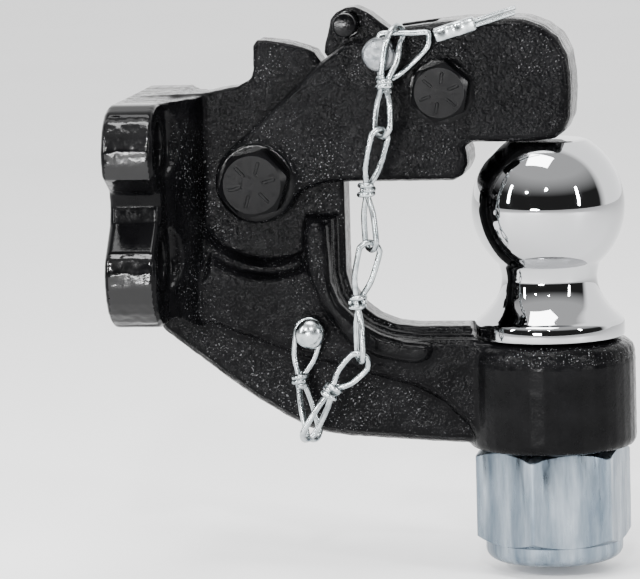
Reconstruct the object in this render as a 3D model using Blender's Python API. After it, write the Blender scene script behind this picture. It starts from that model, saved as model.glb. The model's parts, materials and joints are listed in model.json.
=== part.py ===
"""Pintle hook with a hitch ball: a bolt-on combination tow hook.

Frame: origin at the centre of the four-bolt pattern on the rear mounting face,
+X forward to the ball, +Z up, Y across. Lengths below are millimetres.
"""
import math

import bmesh
import bpy
from mathutils import Vector

MM = 0.001
GAP = 0.3                      # running clearance between neighbouring pieces

# mounting flange
FLANGE_T = 20.0
HOLE_Y, HOLE_Z = 42.9, 22.2    # 3-3/8 in x 1-3/4 in bolt pattern
HOLE_R = 8.3
SEAT_R = 15.5                  # spot-faced bolt seats
SEAT_X = 19.0
FLANGE_TOP, FLANGE_BOTTOM = 37.7, -47.5

# hook
WEB_HALF = 14.5                # plain web
BAND_HALF = 19.0               # thick band between pivot and throat
BEAD_HALF = 22.0               # raised bead along the throat
HORN_HALF = 9.2                # milled faces that the latch straddles
MILL_R = 30.0

# ball and boss
BALL_X, BALL_Z, BALL_R = 162.0, -7.15, 29.37      # 2-5/16 in ball
BALL_FLAT = 25.5
SEAT_Z = -57.55                # ball flange seat
BOSS_R, BOSS_BOTTOM = 32.7, -99.8
SHANK_R, SHANK_END = 15.7, -145.3
NUT_AF, NUT_HEX_H = 53.7, 36.4

# latch and its pivots
PIVOT = (52.0, 5.0)
LOCK = (124.0, 38.8)
PIN = (101.2, 53.5)
LATCH_HALF = 18.0
SLOT_HALF = 9.5
LEVER_HALF = 8.0
PIVOT_R, LOCK_R, PIN_R = 7.8, 7.1, 4.2
LOCK_RATIO, OPEN_DEG = 0.35, 45.0

# chain
WIRE_R = 1.15
RIVET = (72.3, -52.8)
BAIL_Y = -22.4                 # plane of the pin head's cross hole


def clear_scene():
    for o in list(bpy.data.objects):
        bpy.data.objects.remove(o, do_unlink=True)


def material(name, colour, metallic, roughness):
    m = bpy.data.materials.new(name)
    m.use_nodes = True
    b = m.node_tree.nodes["Principled BSDF"]
    b.inputs["Base Color"].default_value = (*colour, 1.0)
    b.inputs["Metallic"].default_value = metallic
    b.inputs["Roughness"].default_value = roughness
    m.diffuse_color = (*colour, 1.0)
    return m


def finish(name, bm, look, smooth=True):
    bmesh.ops.remove_doubles(bm, verts=bm.verts, dist=1e-7)
    bmesh.ops.recalc_face_normals(bm, faces=bm.faces)
    me = bpy.data.meshes.new(name)
    bm.to_mesh(me)
    bm.free()
    ob = bpy.data.objects.new(name, me)
    bpy.context.scene.collection.objects.link(ob)
    if look:
        me.materials.append(material(name + "_material", *look))
    if smooth:
        me.shade_smooth()
        me.set_sharp_from_angle(angle=math.radians(35))
    return ob


def loft(levels, axis="Y"):
    """Closed solid through equal-count outlines; levels = [(position, [(a, b), ...])]."""
    bm = bmesh.new()
    rings = []
    for pos, pts in levels:
        if axis == "Y":
            ring = [bm.verts.new((a * MM, pos * MM, b * MM)) for a, b in pts]
        else:
            ring = [bm.verts.new((pos * MM, a * MM, b * MM)) for a, b in pts]
        rings.append(ring)
    n = len(rings[0])
    for lo, hi in zip(rings, rings[1:]):
        for i in range(n):
            bm.faces.new((lo[i], lo[(i + 1) % n], hi[(i + 1) % n], hi[i]))
    bm.faces.new(rings[0])
    bm.faces.new(list(reversed(rings[-1])))
    return bm


def inset(pts, d):
    """Outline moved inward by d (outline given counter-clockwise)."""
    out = []
    n = len(pts)
    for i in range(n):
        p0, p1, p2 = Vector(pts[i - 1]), Vector(pts[i]), Vector(pts[(i + 1) % n])
        e1, e2 = (p1 - p0).normalized(), (p2 - p1).normalized()
        n1, n2 = Vector((-e1.y, e1.x)), Vector((-e2.y, e2.x))
        m = n1 + n2
        m = n1 if m.length < 1e-6 else m / max(0.5, (1 + n1.dot(n2)))
        out.append((p1.x + m.x * d, p1.y + m.y * d))
    return out


def arc(cx, cz, r, a0, a1, n):
    return [(cx + r * math.cos(math.radians(a0 + (a1 - a0) * i / n)),
             cz + r * math.sin(math.radians(a0 + (a1 - a0) * i / n))) for i in range(n + 1)]


def plate(pts, half, edge, chamfer):
    """Plate across Y with broken edges."""
    return loft([(-half, inset(pts, chamfer)), (-half + edge, pts), (half - edge, pts), (half, inset(pts, chamfer))])


def turned(profile, cx, cy, n=40, axis="Z"):
    """Solid of revolution from a (radius, height) profile that starts and ends on the axis."""
    bm = bmesh.new()

    def put(r, h, a):
        c, s = math.cos(a), math.sin(a)
        if axis == "Z":
            return ((cx + r * c) * MM, (cy + r * s) * MM, h * MM)
        if axis == "Y":
            return ((cx + r * c) * MM, h * MM, (cy + r * s) * MM)
        return (h * MM, (cx + r * c) * MM, (cy + r * s) * MM)

    rings = []
    for r, h in profile:
        if r < 1e-6:
            rings.append([bm.verts.new(put(0, h, 0))])
        else:
            rings.append([bm.verts.new(put(r, h, 2 * math.pi * i / n)) for i in range(n)])
    for a, b in zip(rings, rings[1:]):
        for i in range(n):
            j = (i + 1) % n
            if len(a) == 1 and len(b) > 1:
                bm.faces.new((a[0], b[i], b[j]))
            elif len(b) == 1 and len(a) > 1:
                bm.faces.new((a[i], b[0], a[j]))
            elif len(a) > 1:
                bm.faces.new((a[i], b[i], b[j], a[j]))
    return bm


def ring_turned(profile, cx, cy, n=40, axis="Z"):
    """Closed ring of revolution from a closed (radius, height) loop."""
    bm = bmesh.new()

    def put(r, h, a):
        c, s = math.cos(a), math.sin(a)
        if axis == "Z":
            return ((cx + r * c) * MM, (cy + r * s) * MM, h * MM)
        return ((cx + r * c) * MM, h * MM, (cy + r * s) * MM)

    rings = [[bm.verts.new(put(r, h, 2 * math.pi * i / n)) for i in range(n)] for r, h in profile]
    for k in range(len(rings)):
        a, b = rings[k], rings[(k + 1) % len(rings)]
        for i in range(n):
            j = (i + 1) % n
            bm.faces.new((a[i], b[i], b[j], a[j]))
    return bm


def hexagon(af, cx, cz, turn):
    r = af / math.sqrt(3)
    return [(cx + r * math.cos(math.radians(turn + 60 * k)), cz + r * math.sin(math.radians(turn + 60 * k)))
            for k in range(6)]


def hex_across(af, cx, cz, y0, y1, turn, axis="Y", chamfer=1.2):
    """Hexagonal prism with chamfered corners: a hexagon met by a shallow cone at each end."""
    bm = bmesh.new()
    n = 24
    rap = af / 2
    rings = []
    top, bottom = max(y0, y1), min(y0, y1)
    for pos, cut in ((bottom, True), (bottom + chamfer, False), (top - chamfer, False), (top, True)):
        ring = []
        for i in range(n):
            a = math.radians(turn) + 2 * math.pi * i / n
            k = (i % 4) / 4 * math.pi / 3
            r = rap / math.cos(k - math.pi / 6)
            if cut:
                r = min(r, rap * 1.0) - 0.25
            if axis == "Y":
                ring.append(bm.verts.new(((cx + r * math.cos(a)) * MM, pos * MM, (cz + r * math.sin(a)) * MM)))
            else:
                ring.append(bm.verts.new(((cx + r * math.cos(a)) * MM, (cz + r * math.sin(a)) * MM, pos * MM)))
        rings.append(ring)
    for lo, hi in zip(rings, rings[1:]):
        for i in range(n):
            bm.faces.new((lo[i], lo[(i + 1) % n], hi[(i + 1) % n], hi[i]))
    bm.faces.new(rings[0])
    bm.faces.new(list(reversed(rings[-1])))
    return bm


def tube(points, radius, sides=6, closed=True):
    """Round wire swept along points with a minimal-twist frame."""
    pts = [Vector(p) * MM for p in points]
    n = len(pts)
    bm = bmesh.new()
    tangents = []
    for i in range(n):
        a = pts[i - 1] if (closed or i > 0) else pts[i]
        b = pts[(i + 1) % n] if (closed or i < n - 1) else pts[i]
        tangents.append((b - a).normalized())
    ref = Vector((0, 1, 0)) if abs(tangents[0].y) < 0.9 else Vector((1, 0, 0))
    normal = (ref - tangents[0] * ref.dot(tangents[0])).normalized()
    frames = []
    for t in tangents:
        normal = (normal - t * normal.dot(t)).normalized()
        frames.append((normal.copy(), t.cross(normal).normalized()))
    twist = 0.0
    if closed:
        last = (frames[-1][0] - tangents[0] * frames[-1][0].dot(tangents[0])).normalized()
        twist = math.atan2(last.dot(frames[0][1]), last.dot(frames[0][0]))
    rings = []
    for i in range(n):
        turn = -twist * i / n
        u, v = frames[i]
        rings.append([bm.verts.new(pts[i] + (u * math.cos(turn + 2 * math.pi * k / sides)
                                             + v * math.sin(turn + 2 * math.pi * k / sides)) * radius * MM)
                      for k in range(sides)])
    for i in range(n if closed else n - 1):
        a, b = rings[i], rings[(i + 1) % n]
        for k in range(sides):
            bm.faces.new((a[k], a[(k + 1) % sides], b[(k + 1) % sides], b[k]))
    if not closed:
        bm.faces.new(rings[0])
        bm.faces.new(list(reversed(rings[-1])))
    return bm


def combine(target, others, operation, solver="EXACT"):
    for k, o in enumerate(others):
        m = target.modifiers.new(f"{operation.lower()}_{k}", "BOOLEAN")
        m.operation = operation
        m.solver = solver
        m.object = o
        o.hide_render = True
        o.display_type = "WIRE"


def cylinder(name, cx, cz, r, h0, h1, axis="Y", n=28):
    return finish(name, turned([(0, h0), (r, h0), (r, h1), (0, h1)], cx, cz, n, axis), None)


BLACK = ((0.012, 0.012, 0.013), 0.0, 0.18)
ZINC = ((0.72, 0.75, 0.78), 1.0, 0.3)
CHROME = ((0.9, 0.9, 0.92), 1.0, 0.05)
NYLON = ((0.85, 0.87, 0.9), 0.0, 0.45)

# ---------------------------------------------------------------- body


def flange_outline():
    pts = arc(42.9, 18.7, 19.0, -25, 90, 7)                    # upper right lobe, counter-clockwise in (Y, Z)
    pts += [(-42.9, 37.7)] + arc(-42.9, 18.7, 19.0, 100, 205, 6)
    pts += [(-47.0, 4.0), (-46.0, -1.0), (-48.0, -7.0)]
    pts += arc(-42.0, -27.5, 20.0, 155, 270, 7)
    pts += arc(42.0, -27.5, 20.0, 270, 385, 7)
    pts += [(48.0, -7.0), (46.0, -1.0), (47.0, 4.0)]
    return pts


def build_body():
    fo = flange_outline()
    body = finish("body", loft([(0.0, inset(fo, 1.6)), (1.6, fo), (18.0, fo), (20.0, inset(fo, 2.0))], "X"), BLACK)
    body.data.materials[0].name = "forged_body_paint"

    # flare from the flange into the web, as wide at the flange as the bolt seats allow
    flare = finish("flare_guide", loft([
        (18.0, [(-40, -44), (40, -44), (40, 37.2), (-40, 37.2)]),
        (23.0, [(-30, -46), (30, -46), (30, 37.6), (-30, 37.6)]),
        (27.5, [(-22.5, -50), (22.5, -50), (22.5, 37.8), (-22.5, 37.8)]),
        (29.5, [(-18, -51), (18, -51), (18, 37.8), (-18, 37.8)]),
        (30.5, [(-10, -52), (10, -52), (10, 37.8), (-10, 37.8)])], "X"), None)

    # hook: web and horn outline at the mid plane, counter-clockwise in (X, Z)
    hook = [(6, -46), (13.0, -53.5), (22.3, -60.9), (35.7, -71.2), (48.6, -80.6), (62.0, -88.7), (68.5, -91.9),
            (75.1, -93.9), (85.1, -95.3), (101.7, -96.4), (120.2, -97.8), (150.0, -98.6), (150.0, -52.4),
            (111.5, -52.4), (103.0, -51.4), (96.0, -48.6), (90.4, -44.2), (86.4, -38.0), (84.6, -31.0),
            (84.5, 40.5), (76.0, 50.8)]
    hook += arc(PIVOT[0], PIVOT[1], 53.8, 66.0, 90, 5)
    hook += [(50.3, 56.5), (50.2, 47.5), (49.0, 43.6), (44.0, 41.2), (30.0, 38.8), (6.0, 38.0)]
    web = finish("web_guide", plate(hook, HORN_HALF, 1.2, 1.0), None)

    # plain web below the milled pivot face
    def milled(a0, a1, n):
        return arc(PIVOT[0] + 3, PIVOT[1] - 1, MILL_R, a0, a1, n)

    low = [(8, -44), (13.0, -52.7), (22.3, -59.8), (35.7, -70.0), (48.6, -79.4), (62.0, -87.5), (68.5, -90.8),
           (75.1, -92.9), (85.1, -94.2), (101.7, -95.3), (120.2, -96.8), (150.0, -97.6), (150.0, -55.0),
           (113.0, -55.0), (103.0, -53.6), (95.0, -50.4), (88.0, -45.2), (84.0, -38.4), (82.2, -31.0),
           (82.0, -9.0), (70.0, -9.0), (68.5, -20.0)]
    low += milled(-63, -150, 8)
    low += [(27.0, -6.0), (24.0, 36.5), (8, 36.5)]
    plain = finish("plain_web_guide", plate(low, WEB_HALF, 3.0, 2.4), None)

    thick = [(25.0, -47.0), (36.0, -50.7), (50.7, -56.2), (62.6, -61.0), (74.1, -64.5), (85.5, -66.8),
             (95.1, -70.1), (111.7, -74.6), (122.0, -80.5), (130.2, -88.4), (136.0, -97.0), (150.0, -97.0),
             (150.0, -56.5), (113.0, -56.5), (103.0, -55.2), (94.0, -51.8), (86.6, -46.2), (82.4, -39.0),
             (80.6, -31.0), (80.4, -9.4), (70.6, -9.4), (69.0, -20.0)]
    thick += arc(PIVOT[0] + 3, PIVOT[1] - 1, MILL_R + 5.0, -68, -128, 6)
    thick += [(27.0, -34.0)]
    band = finish("band_guide", plate(thick, BAND_HALF, 2.5, 2.2), None)

    # bead that runs down the throat and round under it
    bead = [(70.0, -14.0), (70.4, -29.0), (75.8, -42.5), (86.5, -57.5), (97.0, -62.6), (106.0, -64.6),
            (113.0, -65.2), (117.4, -63.2), (118.8, -60.0), (117.0, -57.6), (107.6, -56.4), (98.8, -53.8),
            (91.6, -49.6), (83.6, -41.8), (80.2, -33.6), (79.6, -20.9), (79.0, -12.0), (76.0, -9.6), (72.0, -10.4)]
    beads = finish("bead_guide", plate(bead, BEAD_HALF, 2.2, 1.8), None)

    boss = finish("boss_guide", turned([(0, BOSS_BOTTOM), (BOSS_R - 3.2, BOSS_BOTTOM), (BOSS_R - 0.9, BOSS_BOTTOM + 0.9),
                                        (BOSS_R, BOSS_BOTTOM + 3.2), (BOSS_R, -63.5), (BOSS_R - 0.9, -60.6),
                                        (BOSS_R - 3.0, -59.0), (BOSS_R - 8, SEAT_Z - 0.2), (0, SEAT_Z - 0.2)],
                                       BALL_X, 0, 40), None)
    combine(body, [flare, web, plain, band, beads, boss], "UNION", "MANIFOLD")

    cuts = []
    for sy in (-1, 1):
        for sz in (-1, 1):
            cuts.append(cylinder(f"bolt_hole_cut_{sy}_{sz}", sy * HOLE_Y, sz * HOLE_Z, HOLE_R, -5, 60, "X", 20))
            cuts.append(cylinder(f"bolt_seat_cut_{sy}_{sz}", sy * HOLE_Y, sz * HOLE_Z, SEAT_R, SEAT_X, 60, "X", 28))
    cuts.append(finish("ball_seat_cut", turned([(0, SEAT_Z), (30.6, SEAT_Z), (30.6, -40), (0, -40)], BALL_X, 0, 40), None))
    cuts.append(finish("shank_bore_cut", turned([(0, -110), (SHANK_R + GAP + 0.2, -110), (SHANK_R + GAP + 0.2, -40), (0, -40)],
                                                BALL_X, 0, 32), None))
    cuts.append(cylinder("pivot_bore_cut", PIVOT[0], PIVOT[1], PIVOT_R + GAP, -30, 30))
    cuts.append(cylinder("rivet_bore_cut", RIVET[0], RIVET[1], 2.8, -40, -8, n=16))
    combine(body, cuts, "DIFFERENCE", "MANIFOLD")
    return body


# ---------------------------------------------------------------- latch


def latch_outline():
    pts = arc(PIVOT[0], PIVOT[1], 16.6, 130, 338, 14)[0:]
    pts += [(71.6, 1.6), (78.6, 3.6), (86.3, 4.2), (107.4, 4.2), (127.5, 4.2), (131.4, 6.4), (133.2, 10.6),
            (133.0, 14.4), (132.2, 17.0), (134.6, 18.75), (158.0, 18.75), (166.8, 19.8), (170.3, 22.4),
            (172.7, 27.4), (173.3, 37.3), (173.0, 44.6), (172.0, 51.9), (168.7, 58.4), (163.4, 62.7),
            (156.2, 65.5), (150.9, 66.0), (129.8, 65.6), (119.0, 64.6), (106.5, 63.0), (98.0, 60.0),
            (92.0, 58.4), (86.6, 57.3), (75.5, 49.0), (69.9, 43.6), (54.8, 29.5)]
    return pts


def lever_outline():
    ramp = (77.9, 53.1), (85.0, 44.4)
    pts = [ramp[1], (87.6, 41.8), (92.0, 39.4), (98.0, 37.0), (108.0, 31.5), (115.0, 29.8)]
    pts += arc(LOCK[0], LOCK[1], 10.6, 245, 430, 10)
    pts += [(120.0, 51.5), (112.0, 56.5), (105.8, 60.0), (100.5, 64.1), (95.5, 68.1), (91.7, 70.0), (89.8, 70.7),
            (86.3, 70.3), (82.8, 68.6), (80.6, 66.0), (80.0, 63.0), (79.3, 60.2), (78.2, 56.5), ramp[0]]
    return pts


def build_latch():
    lo = latch_outline()
    latch = finish("latch", loft([(-LATCH_HALF, inset(lo, 2.3)), (-LATCH_HALF + 1.0, inset(lo, 1.0)),
                                  (-LATCH_HALF + 3.5, lo), (LATCH_HALF - 3.5, lo),
                                  (LATCH_HALF - 1.0, inset(lo, 1.0)), (LATCH_HALF, inset(lo, 2.3))]), BLACK)
    boss = finish("pivot_ring_guide", turned([(0, -18.8), (15.0, -18.8), (16.2, -17.6), (16.4, -12), (16.4, 12),
                                              (16.2, 17.6), (15.0, 18.8), (0, 18.8)], PIVOT[0], PIVOT[1], 32, "Y"), None)
    combine(latch, [boss], "UNION", "MANIFOLD")
    slot = finish("horn_slot_cut", loft([(-SLOT_HALF, arc(PIVOT[0], PIVOT[1], 56.0, 0, 354, 59)),
                                         (SLOT_HALF, arc(PIVOT[0], PIVOT[1], 56.0, 0, 354, 59))]), None)
    room = [(80, 28), (96, 27), (108, 24.5), (124, 24.3)]
    room += arc(LOCK[0], LOCK[1], 14.4, 280, 420, 8)
    room += [(125.0, 56.0), (121.5, 59.0), (120.8, 75), (80, 75)]
    lever_room = finish("lever_room_cut", loft([(-SLOT_HALF + 0.4, room), (SLOT_HALF - 0.4, room)]), None)
    cuts = [slot, lever_room,
            cylinder("latch_pivot_cut", PIVOT[0], PIVOT[1], PIVOT_R + GAP, -30, 30),
            cylinder("latch_lock_cut", LOCK[0], LOCK[1], LOCK_R + GAP, -30, 30),
            cylinder("latch_pin_cut", PIN[0], PIN[1], PIN_R + GAP, -30, 30, n=24)]
    combine(latch, cuts, "DIFFERENCE", "MANIFOLD")
    return latch


def build_lever():
    lever = finish("lock_lever", plate(lever_outline(), LEVER_HALF, 1.6, 1.3), BLACK)
    # arc-shaped slot for the safety pin, centred on the lever's pivot
    r0 = math.hypot(PIN[0] - LOCK[0], PIN[1] - LOCK[1])
    a0 = math.degrees(math.atan2(PIN[1] - LOCK[1], PIN[0] - LOCK[0]))
    a1 = a0 + LOCK_RATIO * OPEN_DEG + 0.6
    w = PIN_R + GAP + 0.1
    pts = arc(LOCK[0], LOCK[1], r0 + w, a0, a1, 5)
    end = (LOCK[0] + r0 * math.cos(math.radians(a1)), LOCK[1] + r0 * math.sin(math.radians(a1)))
    pts += arc(end[0], end[1], w, a1, a1 + 180, 8)[1:-1]
    pts += arc(LOCK[0], LOCK[1], r0 - w, a1, a0, 5)
    pts += arc(PIN[0], PIN[1], w, a0 + 180, a0 + 360, 8)[1:-1]
    slot = finish("pin_slot_cut", loft([(-20, pts), (20, pts)]), None)
    spring_room = cylinder("spring_room_cut", LOCK[0], LOCK[1], 14.0, 1.4, 20, n=32)
    cuts = [slot, spring_room, cylinder("lever_bore_cut", LOCK[0], LOCK[1], LOCK_R + GAP, -30, 30),
            cylinder("handle_bore_cut", 87.2, 64.2, 4.5 + GAP, -30, 30, n=24)]
    combine(lever, cuts, "DIFFERENCE", "MANIFOLD")
    return lever


# ---------------------------------------------------------------- ball and nut


def build_ball():
    prof = [(0, BALL_Z + BALL_FLAT), (14.0, BALL_Z + BALL_FLAT)]
    for i in range(14):
        a = math.radians(60.25 - (60.25 + 48.4) * i / 13)
        prof.append((BALL_R * math.cos(a), BALL_Z + BALL_R * math.sin(a)))
    prof += [(18.3, -34.6), (19.4, -40.2), (22.4, -45.3), (27.6, -50.4),
             (28.65, -51.6), (28.65, SEAT_Z + 1.0), (28.1, SEAT_Z + GAP), (SHANK_R, SEAT_Z + GAP),
             (SHANK_R, SHANK_END + 1.4), (SHANK_R - 1.4, SHANK_END), (0, SHANK_END)]
    return finish("hitch_ball", turned(list(reversed(prof)), BALL_X, 0, 36), CHROME)


def build_nut():
    top = BOSS_BOTTOM - GAP
    low = top - NUT_HEX_H
    nut = finish("ball_lock_nut", hex_across(NUT_AF, BALL_X, 0, low, top, 19.75 + 180, "Z", 2.0), ZINC)
    collar = finish("collar_guide", turned([(0, low - 7.6), (21.0, low - 7.6), (24.6, low - 6.4), (26.4, low - 3.4),
                                            (26.5, low + 1.0), (0, low + 1.0)], BALL_X, 0, 32), None)
    combine(nut, [collar], "UNION")
    r = SHANK_R + 0.5
    bore = finish("nut_bore_cut", turned([(0, low - 12), (r, low - 12), (r, low - 6.0), (21.6, low - 6.0), (21.6, low - 0.6),
                                          (r, low - 0.6), (r, top + 5), (0, top + 5)], BALL_X, 0, 32), None)
    combine(nut, [bore], "DIFFERENCE")
    finish("nut_nylon_insert", ring_turned([(SHANK_R + 0.45, low - 5.6), (21.2, low - 5.6), (21.2, low - 1.0),
                                            (SHANK_R + 0.45, low - 1.0)], BALL_X, 0, 32), NYLON)
    return nut


# ---------------------------------------------------------------- fasteners


def hex_bolt(name, cx, cz, r, af, face, head_h, end, turn):
    """Bolt from the -Y side: head on the face, shank through to +Y end."""
    bolt = finish(name, hex_across(af, cx, cz, face - head_h, face, turn, "Y", 1.3), BLACK)
    shank = finish(name + "_shank_guide", turned([(0, face - 1), (r, face - 1), (r, end - 1.2), (r - 1.2, end), (0, end)],
                                                 cx, cz, 28, "Y"), None)
    combine(bolt, [shank], "UNION")
    return bolt


def hex_nut(name, cx, cz, r, af, y0, h, turn):
    nut = finish(name, hex_across(af, cx, cz, y0, y0 + h, turn, "Y", 1.3), BLACK)
    cut = cylinder(name + "_bore_cut", cx, cz, r + GAP + 0.05, y0 - 5, y0 + h + 5, n=28)
    combine(nut, [cut], "DIFFERENCE")
    return nut


def washer(name, cx, cz, r, ro, y0, h):
    return finish(name, ring_turned([(r + GAP + 0.1, y0), (r + GAP + 0.1, y0 + h), (ro, y0 + h), (ro, y0)], cx, cz, 32, "Y"), BLACK)


# ---------------------------------------------------------------- safety pin, bail, chain


def build_pin():
    x, z = PIN
    pin = finish("safety_pin", turned([(0, -25.0), (5.9, -25.0), (6.55, -24.4), (6.55, -19.0), (6.2, -18.4), (PIN_R, -18.4),
                                       (PIN_R, 22.0), (PIN_R - 1.6, 24.0), (0, 24.0)], x, z, 28, "Y"), ZINC)
    hole = finish("bail_hole_cut", turned([(0, z - 12), (1.7, z - 12), (1.7, z + 12), (0, z + 12)], x, BAIL_Y, 12), None)
    combine(pin, [hole], "DIFFERENCE")
    return pin


def smooth_path(ctrl, per=4, closed=True):
    """Catmull-Rom curve through the control points."""
    out = []
    n = len(ctrl)
    rng = range(n) if closed else range(n - 1)
    for i in rng:
        p = [Vector(ctrl[(i + k - 1) % n] if closed else ctrl[min(max(i + k - 1, 0), n - 1)]) for k in range(4)]
        for s in range(per):
            t = s / per
            out.append(0.5 * ((2 * p[1]) + (p[2] - p[0]) * t + (2 * p[0] - 5 * p[1] + 4 * p[2] - p[3]) * t * t
                              + (3 * p[1] - p[0] - 3 * p[2] + p[3]) * t ** 3))
    if not closed:
        out.append(Vector(ctrl[-1]))
    return out


BAIL = [(101.2, 53.5), (101.2, 59.6), (102.4, 61.2), (106.0, 61.4), (114.0, 61.3), (119.6, 61.4), (120.4, 59.4)]
BAIL_LOW = [(119.4, 55.6), (115.6, 51.4), (110.0, 46.6), (104.6, 43.8), (101.6, 45.0), (101.2, 48.4), (101.2, 53.5)]


def build_bail():
    y = BAIL_Y
    ctrl = [(x, y, z) for x, z in BAIL] + [(x, y, z) for x, z in BAIL_LOW[:-1]]
    path = smooth_path(ctrl, 3, True)
    bail = finish("pin_bail_wire", tube(path, 1.12, 6), ZINC)
    return bail


def build_ferrule():
    """Flattened crimp sleeve; the two wire ends stand out past it as one tail."""
    a, b = Vector((121.9, 59.9)), Vector((138.0, 64.8))
    d = (b - a).normalized()
    n = Vector((-d.y, d.x))
    half = 2.9

    def section(s, w, t, k=10):
        c = a + d * s
        ring = []
        for i in range(k):
            ang = 2 * math.pi * i / k
            u = w * math.copysign(abs(math.cos(ang)) ** 0.7, math.cos(ang))
            v = t * math.copysign(abs(math.sin(ang)) ** 0.7, math.sin(ang))
            ring.append((c.x + n.x * u, BAIL_Y + v, c.y + n.y * u))
        return ring

    bm = bmesh.new()
    length = (b - a).length
    rings = []
    for s, w, t in ((0.8, half - 0.3, 2.1), (1.4, half, 2.4), (length - 0.6, half, 2.4), (length, half - 0.3, 2.1),
                    (length + 0.05, 2.2, 1.1), (length + 16.5, 1.9, 1.1)):
        rings.append([bm.verts.new(Vector(p) * MM) for p in section(s, w, t)])
    k = len(rings[0])
    for lo, hi in zip(rings, rings[1:]):
        for i in range(k):
            bm.faces.new((lo[i], lo[(i + 1) % k], hi[(i + 1) % k], hi[i]))
    bm.faces.new(rings[0])
    bm.faces.new(list(reversed(rings[-1])))
    ferrule = finish("bail_ferrule", bm, ZINC)
    return ferrule


# each link: upper end, knot, lower end (centre line), plane turns of upper and lower loops in degrees
LINKS = {
    "chain_link_1": ((105.8, -22.4, 65.0), (104.0, -31.0, 42.8), (103.0, -34.4, 23.4), 30, -38),
    "chain_link_2": ((103.0, -34.4, 26.2), (96.8, -35.4, 3.2), (98.2, -35.6, -19.4), 45, -52),
    "chain_link_3": ((98.2, -35.6, -16.6), (92.4, -36.0, -39.2), (93.0, -36.4, -62.0), 24, -66),
    "chain_link_4": ((94.7, -36.4, -59.9), (81.8, -36.6, -72.9), (71.0, -36.6, -91.8), 8, 62),
    "chain_link_5": ((72.3, -23.0, -47.6), (67.9, -23.6, -70.6), (73.0, -24.6, -93.6), 0, 50),
}
# the first link's upper loop passes over the bail and both legs come down in front of the pin head
OVER_BAIL = [(103.6, -28.2, 54.0), (104.6, -27.2, 58.6), (106.4, -25.2, 62.6), (108.2, -22.6, 64.3), (109.6, -20.2, 63.2),
             (110.2, -19.7, 61.0), (110.0, -21.0, 58.9), (109.6, -24.4, 57.6), (109.4, -27.4, 55.4), (108.6, -28.8, 51.0)]


def link_path(top, knot, low, turn_up, turn_low, half_up=4.1, half_low=4.1, gap=1.35):
    """Centre line of one knotted wire link: two long loops that pinch together at the knot."""
    top, knot, low = Vector(top), Vector(knot), Vector(low)
    up_dir = (top - low).normalized()

    def loop(end, turn, half):
        axis = (knot - end).normalized()
        side0 = Vector((1, 0, 0))
        side0 = (side0 - up_dir * side0.dot(up_dir)).normalized()
        other = up_dir.cross(side0)
        side = side0 * math.cos(math.radians(turn)) + other * math.sin(math.radians(turn))
        side = (side - axis * side.dot(axis)).normalized()
        pts = []
        for i in range(7):                                   # round end
            a = math.pi * i / 6
            pts.append(end + axis * (half - half * math.sin(a)) + side * (half * math.cos(a)))
        return pts, side, axis, (knot - end).length

    up, side_u, axis_u, len_u = loop(top, turn_up, half_up)
    dn, side_d, axis_d, len_d = loop(low, turn_low, half_low)
    if side_u.dot(side_d) < 0:
        side_d = -side_d
        dn = list(reversed(dn))
    mid = (side_u + side_d).normalized()
    path = list(up)                                          # plus side over to minus side
    path.append(top + axis_u * (len_u * 0.6) - side_u * half_up * 0.84)
    path.append(knot - axis_u * 2.8 - (side_u * 1.6 + mid).normalized() * gap * 1.12)
    path.append(knot - mid * gap)
    path.append(knot - axis_d * 2.8 - (side_d * 1.6 + mid).normalized() * gap * 1.12)
    path.append(low + axis_d * (len_d * 0.6) - side_d * half_low * 0.84)
    path += list(reversed(dn))
    path.append(low + axis_d * (len_d * 0.6) + side_d * half_low * 0.84)
    path.append(knot - axis_d * 2.8 + (side_d * 1.6 + mid).normalized() * gap * 1.12)
    path.append(knot + mid * gap)
    path.append(knot - axis_u * 2.8 + (side_u * 1.6 + mid).normalized() * gap * 1.12)
    path.append(top + axis_u * (len_u * 0.6) + side_u * half_up * 0.84)
    return path, knot, up_dir


def build_link(name, top, knot, low, turn_up, turn_low):
    first, last = name == "chain_link_1", name == "chain_link_5"
    path, k, axis = link_path(top, knot, low, turn_up, turn_low, 4.8 if last else 4.1, 3.4 if last else 4.1)
    if first:
        path = [Vector(p) for p in reversed(OVER_BAIL)] + path[8:-1]
    link = finish(name, tube(smooth_path(path, 1, True), WIRE_R, 6), ZINC)
    # the wire's own turns round the waist
    bm = bmesh.new()
    z = axis
    x = (Vector((1, 0, 0)) - z * z.x).normalized()
    y = z.cross(x)
    n = 10
    rings = []
    for h, r in ((-2.6, 2.6), (-1.7, 3.6), (1.7, 3.6), (2.6, 2.6)):
        rings.append([bm.verts.new((k + z * h + (x * math.cos(2 * math.pi * i / n) + y * math.sin(2 * math.pi * i / n)) * r) * MM)
                      for i in range(n)])
    for lo, hi in zip(rings, rings[1:]):
        for i in range(n):
            bm.faces.new((lo[i], lo[(i + 1) % n], hi[(i + 1) % n], hi[i]))
    bm.faces.new(rings[0])
    bm.faces.new(list(reversed(rings[-1])))
    wrap = finish(name + "_wrap_guide", bm, None)
    combine(link, [wrap], "UNION")
    return link


def build_rivet():
    x, z = RIVET
    return finish("chain_rivet", turned([(0, -29.6), (2.2, -29.3), (4.2, -28.3), (5.4, -26.9), (5.8, -25.6), (5.6, -25.2),
                                         (2.4, -25.2), (2.4, -9.0), (0, -9.0)], x, z, 20, "Y"), ZINC)


# ---------------------------------------------------------------- assembly


def build_spring():
    pts = []
    turns, per = 2.75, 12
    y0, y1 = 2.9, 7.9
    total = int(turns * per)
    for i in range(total + 1):
        a = math.radians(200) - 2 * math.pi * i / per
        pts.append((LOCK[0] + 10.2 * math.cos(a), y0 + (y1 - y0) * i / total, LOCK[1] + 10.2 * math.sin(a)))
    return finish("lock_torsion_spring", tube(pts, 0.9, 6, False), ZINC)


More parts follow.
